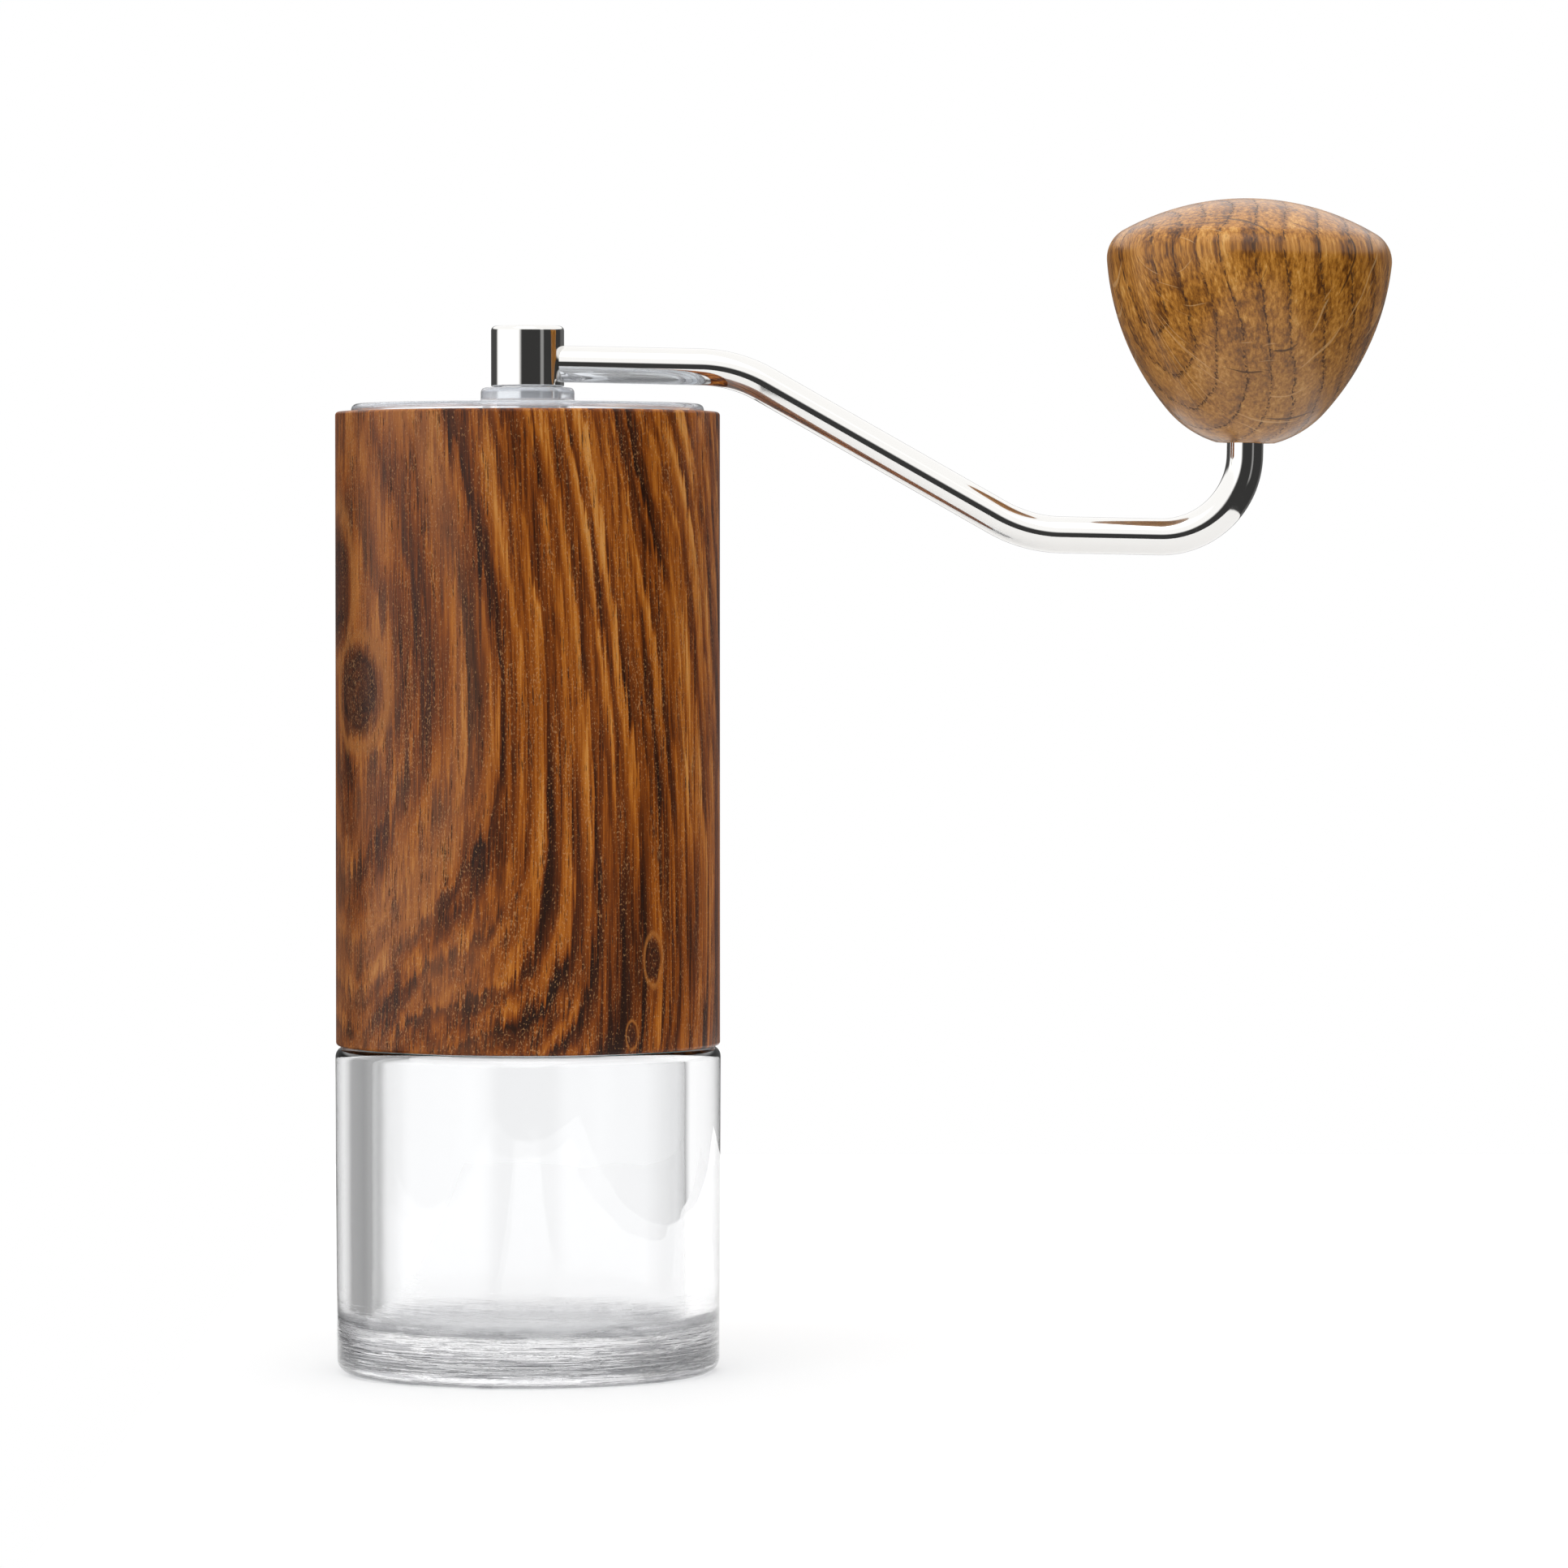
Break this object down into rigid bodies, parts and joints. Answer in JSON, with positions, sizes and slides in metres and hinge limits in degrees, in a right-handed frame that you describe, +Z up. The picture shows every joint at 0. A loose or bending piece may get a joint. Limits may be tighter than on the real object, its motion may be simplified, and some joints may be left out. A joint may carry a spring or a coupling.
{
  "type": "burr coffee grinder",
  "caption": "Hand-cranked burr coffee grinder: wooden cylinder over a clear screw-on jar, with a clear lid and a bent steel crank ending in a wooden knob.",
  "frame": {"origin": "centre of the jar's flat base, on the drive shaft's axis", "axes": "+Z up along the drive shaft, +X along the crank arm at rest, towards the knob"},
  "size_m": [0.1649, 0.0602, 0.1831],
  "materials": {
    "wood": "turned figured hardwood, oiled",
    "knob_wood": "turned open-grained hardwood, satin",
    "jar_clear": "thick clear moulded",
    "lid_clear": "clear moulded, polished",
    "polished_steel": "polished",
    "tube_steel": "brushed",
    "machined_steel": "turned",
    "burr_steel": "ground, bright cutting edges",
    "bearing_steel": "ground and lapped",
    "spring_steel": "drawn wire",
    "black_fastener": "black oxide",
    "frame_grey": "moulded, glass filled",
    "bridge_alloy": "machined",
    "dial_alloy": "knurled",
    "cage_polymer": "moulded",
    "bush_bronze": "sintered, oiled",
    "seal_rubber": "soft moulded",
    "lid_seal_rubber": "translucent soft moulded"
  },
  "bodies": {
    "housing": {"wood_sleeve": "wood", "liner_tube": "tube_steel", "burr_housing": "frame_grey", "ring_burr": "burr_steel", "ring_burr_screws": "machined_steel", "lower_bridge": "bridge_alloy", "upper_bridge": "bridge_alloy", "bridge_posts": "machined_steel", "post_screws": "black_fastener", "housing_screws": "black_fastener", "lower_retaining_ring": "black_fastener", "upper_retaining_ring": "black_fastener", "lower_outer_race": "bearing_steel", "upper_outer_race": "bearing_steel", "lower_bearing_shields": "machined_steel", "upper_bearing_shields": "machined_steel"},
    "lower_ball_set": {"lower_balls": "bearing_steel", "lower_ball_cage": "cage_polymer"},
    "upper_ball_set": {"upper_balls": "bearing_steel", "upper_ball_cage": "cage_polymer"},
    "drive_shaft": {"drive_shaft": "machined_steel", "drive_pin": "bearing_steel", "shaft_circlip": "black_fastener", "dial_stop_clip": "black_fastener", "spring_washer": "machined_steel", "preload_spring": "spring_steel", "lower_inner_race": "bearing_steel", "upper_inner_race": "bearing_steel"},
    "cone_burr": {"cone_burr": "burr_steel", "click_balls": "bearing_steel", "click_springs": "spring_steel"},
    "adjusting_dial": {"adjusting_dial": "dial_alloy"},
    "crank": {"crank_hub": "polished_steel", "crank_rod": "polished_steel", "lid_clip": "machined_steel", "knob_snap_ring": "black_fastener"},
    "knob": {"knob": "knob_wood", "knob_bush": "bush_bronze"},
    "lid": {"lid": "lid_clear", "lid_seal": "lid_seal_rubber"},
    "jar_seal": {"jar_seal": "seal_rubber"},
    "jar": {"jar": "jar_clear"}
  },
  "joints": [
    {"name": "shaft_turn", "type": "hinge", "parent": "housing", "child": "drive_shaft", "pos_m": [0, 0, 0.11], "axis": [0, 0, 1], "continuous": true},
    {"name": "lower_balls_turn", "type": "hinge", "parent": "housing", "child": "lower_ball_set", "pos_m": [0, 0, 0.087], "axis": [0, 0, 1], "continuous": true},
    {"name": "upper_balls_turn", "type": "hinge", "parent": "housing", "child": "upper_ball_set", "pos_m": [0, 0, 0.135], "axis": [0, 0, 1], "continuous": true},
    {"name": "burr_feed", "type": "slide", "parent": "drive_shaft", "child": "cone_burr", "axis": [0, 0, 1], "range_m": [-0.0005, 0.00075], "deforming": ["preload_spring"]},
    {"name": "dial_turn", "type": "hinge", "parent": "cone_burr", "child": "adjusting_dial", "pos_m": [0, 0, 0.0575], "axis": [0, 0, 1], "range_deg": [-361, 541]},
    {"name": "crank_lift", "type": "slide", "parent": "drive_shaft", "child": "crank", "axis": [0, 0, 1], "range_m": [0, 0.04]},
    {"name": "knob_spin", "type": "hinge", "parent": "crank", "child": "knob", "pos_m": [0.11218, 0, 0.15515], "axis": [0.0209, 0, 0.9998], "continuous": true},
    {"name": "lid_lift", "type": "slide", "parent": "housing", "child": "lid", "axis": [0, 0, 1], "range_m": [0, 0.04]},
    {"name": "jar_drop", "type": "slide", "parent": "housing", "child": "jar_seal", "axis": [0, 0, -1], "range_m": [0, 0.00676]},
    {"name": "jar_turn", "type": "hinge", "parent": "jar_seal", "child": "jar", "pos_m": [0, 0, 0.05], "axis": [0, 0, -1], "range_deg": [0, 810]}
  ],
  "couplings": [
    {"joint": "lower_balls_turn", "follows": "shaft_turn", "ratio": 0.36},
    {"joint": "upper_balls_turn", "follows": "shaft_turn", "ratio": 0.36},
    {"joint": "dial_turn", "follows": "burr_feed", "rad_per_m": 12566},
    {"joint": "lid_lift", "follows": "crank_lift", "ratio": 1},
    {"joint": "jar_drop", "follows": "jar_turn", "m_per_rad": 0.00047746}
  ]
}
